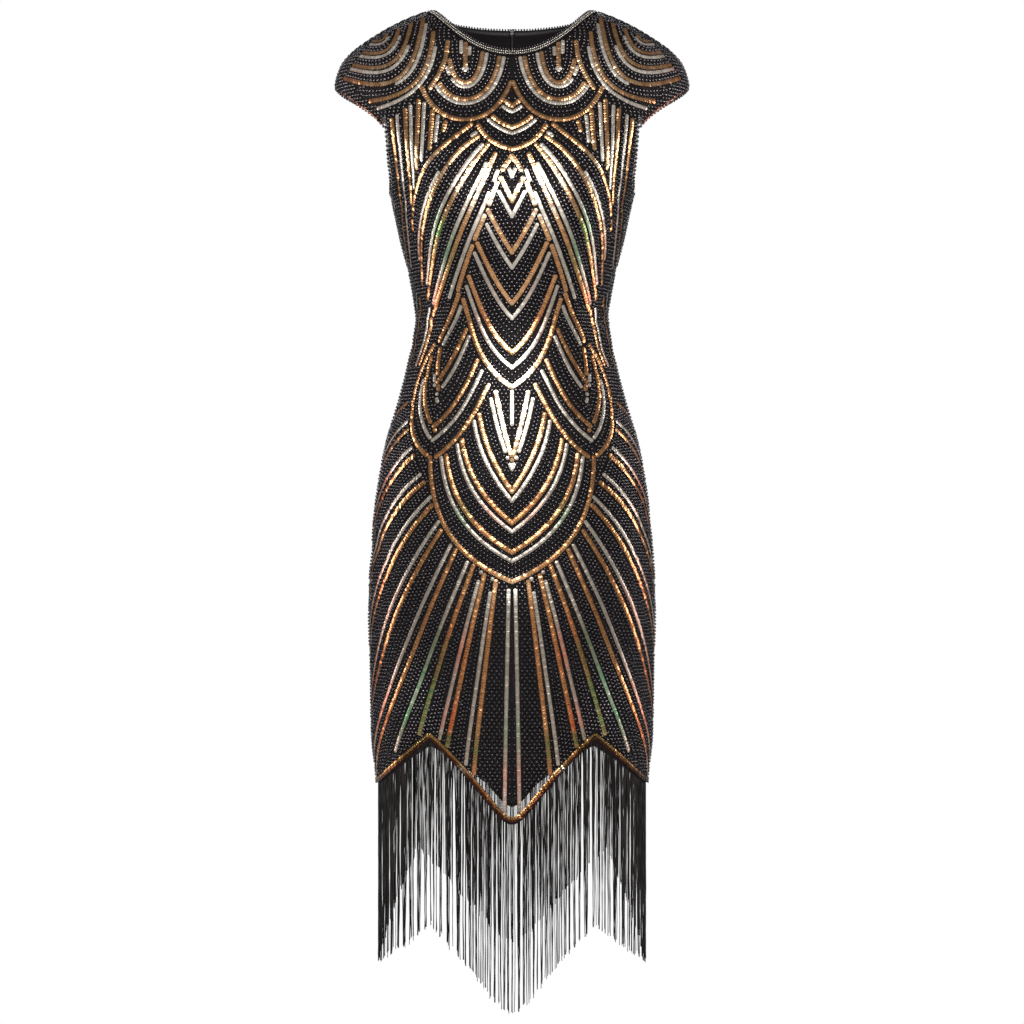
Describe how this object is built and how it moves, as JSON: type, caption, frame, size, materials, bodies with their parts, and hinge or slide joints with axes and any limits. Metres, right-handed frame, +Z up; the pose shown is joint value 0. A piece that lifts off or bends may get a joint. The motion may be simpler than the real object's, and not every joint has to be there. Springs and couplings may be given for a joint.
{
  "type": "flapper dress",
  "caption": "Fitted knee-length dress of beaded tulle over a lining, with cap sleeves, round neck, scalloped hem, long fringe and a centre-back zip.",
  "frame": {"origin": "midway between the two shoulder points, where the wearer carries the dress", "axes": "+Z up along the dress towards the neck, -Y the front, +X to the right as seen from the front"},
  "size_m": [0.405, 0.2355, 1.127],
  "materials": {
    "beaded_tulle": "fine black net sewn with rows of black beads and gold and silver sequins",
    "satin_lining": "smooth black satin",
    "silver_binding": "beaded silver-grey binding",
    "gold_sequins": "glossy gold sequins in a band",
    "rayon_fringe": "silky black twisted strands",
    "zip_tape": "matt black woven tape",
    "zip_coil": "black nylon coil",
    "zip_metal": "black enamelled metal"
  },
  "bodies": {
    "dress": {"front_panel": "beaded_tulle", "back_panel_left": "beaded_tulle", "back_panel_right": "beaded_tulle", "sleeve_left": "beaded_tulle", "sleeve_right": "beaded_tulle", "neck_binding": "silver_binding", "lining_front": "satin_lining", "lining_back_left": "satin_lining", "lining_back_right": "satin_lining", "hem_band_front": "gold_sequins", "hem_band_back": "gold_sequins", "fringe_front": "rayon_fringe", "fringe_back": "rayon_fringe", "zip_tape_left": "zip_tape", "zip_tape_right": "zip_tape", "zip_coil": "zip_coil", "zip_slider": "zip_metal"},
    "zip_pull": {"zip_pull": "zip_metal"}
  },
  "joints": [
    {"name": "zip_pull_hinge", "type": "hinge", "parent": "dress", "child": "zip_pull", "pos_m": [0, 0.06988, 0.00444], "axis": [1, 0, 0], "range_deg": [0, 150]}
  ]
}
